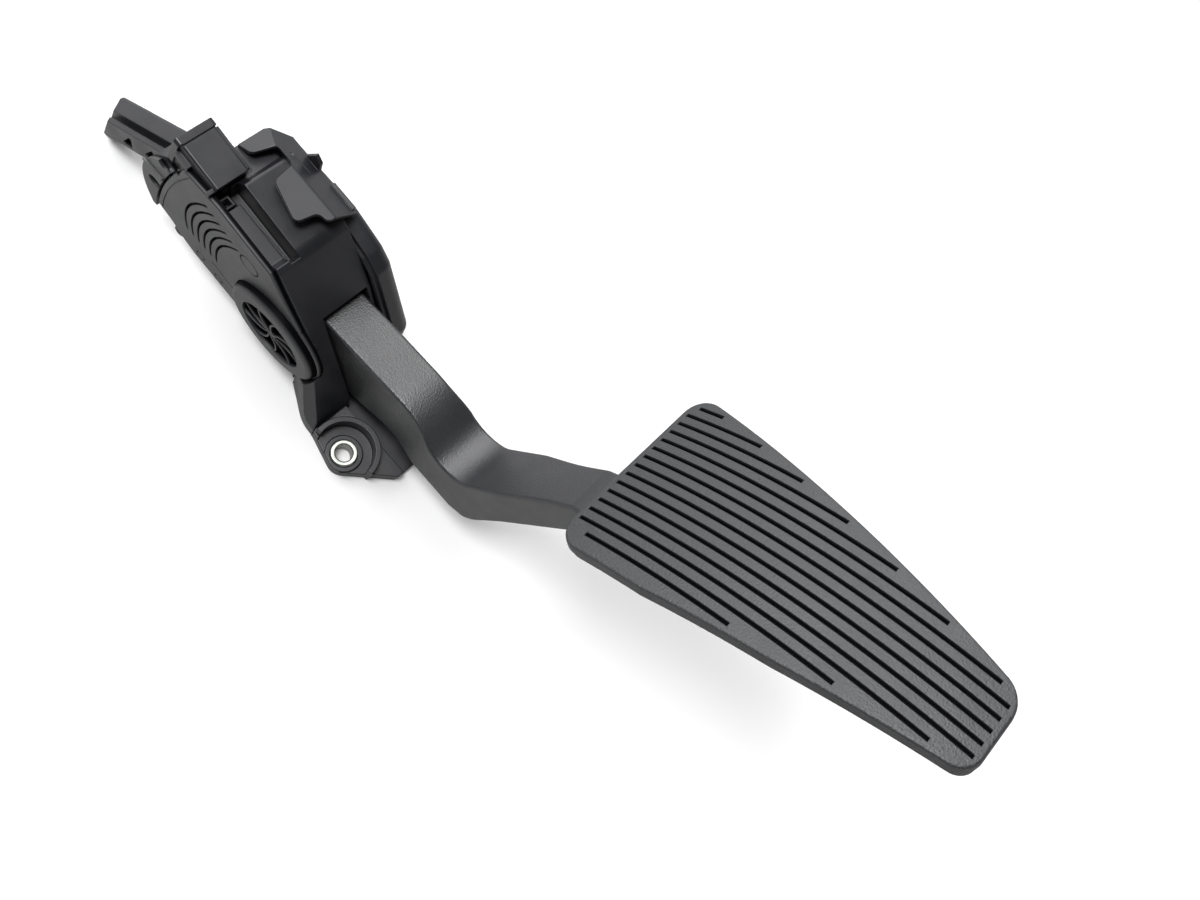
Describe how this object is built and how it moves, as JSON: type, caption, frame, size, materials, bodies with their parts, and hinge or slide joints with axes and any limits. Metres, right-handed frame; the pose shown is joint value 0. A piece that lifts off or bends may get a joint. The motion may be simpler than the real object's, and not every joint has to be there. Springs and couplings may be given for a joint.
{
  "type": "accelerator pedal module",
  "caption": "Hanging accelerator pedal: a bent arm with a grooved curved pad on a moulded housing with position sensor, return springs and connector socket.",
  "frame": {"origin": "axis of the steel sleeve for the fixing bolt, on the plane the foot stands on", "axes": "+Z along the bolt's axis towards the driver, +X down the pedal towards the pad, +Y away from the sensor side"},
  "size_m": [0.339, 0.0782, 0.227],
  "materials": {
    "arm_plastic": "fine-grained glass-filled nylon",
    "tread": "fine grain",
    "housing_plastic": "smooth, slightly satin",
    "cover_plastic": "smooth, satin",
    "sleeve_steel": "bright zinc",
    "spring_steel": "oiled wire",
    "shaft_steel": "ground",
    "bush_plastic": "natural acetal",
    "rubber": "matt",
    "board": "solder mask",
    "chip": "matt",
    "ceramic": "matt",
    "pin_brass": "tinned",
    "magnet": "ferrite"
  },
  "bodies": {
    "housing": {"housing_body": "housing_plastic", "mount_sleeve": "sleeve_steel", "sensor_cover": "cover_plastic", "cover_seal": "rubber", "end_cap": "cover_plastic", "cover_screw": "cover_plastic", "pivot_cover": "cover_plastic", "circuit_board": "board", "hall_chips": "chip", "board_capacitors": "ceramic", "connector_socket": "housing_plastic", "connector_pins": "pin_brass", "near_bush": "bush_plastic", "far_bush": "bush_plastic", "idle_stop": "rubber", "stop_bumper": "rubber", "spring_seat": "housing_plastic", "outer_return_spring": "spring_steel", "inner_return_spring": "spring_steel", "far_cover": "housing_plastic", "harness_guard": "housing_plastic"},
    "pedal": {"pedal_arm": "arm_plastic", "pad_plate": "arm_plastic", "pad_tread": "tread", "pivot_shaft": "shaft_steel", "rotor_carrier": "bush_plastic", "rotor_magnet": "magnet"},
    "plunger": {"friction_plunger": "bush_plastic"}
  },
  "joints": [
    {"name": "pedal_pivot", "type": "hinge", "parent": "housing", "child": "pedal", "pos_m": [-0.051, 0.0267, 0.04], "axis": [0, 1, 0], "range_deg": [0, 14], "stiffness_Nm_per_rad": 9, "springref_deg": -17.19},
    {"name": "plunger_lift", "type": "slide", "parent": "housing", "child": "plunger", "axis": [0, 0, 1], "range_m": [0, 0.0084], "deforming": ["outer_return_spring", "inner_return_spring"]}
  ],
  "couplings": [
    {"joint": "plunger_lift", "follows": "pedal_pivot", "m_per_rad": 0.03366}
  ]
}
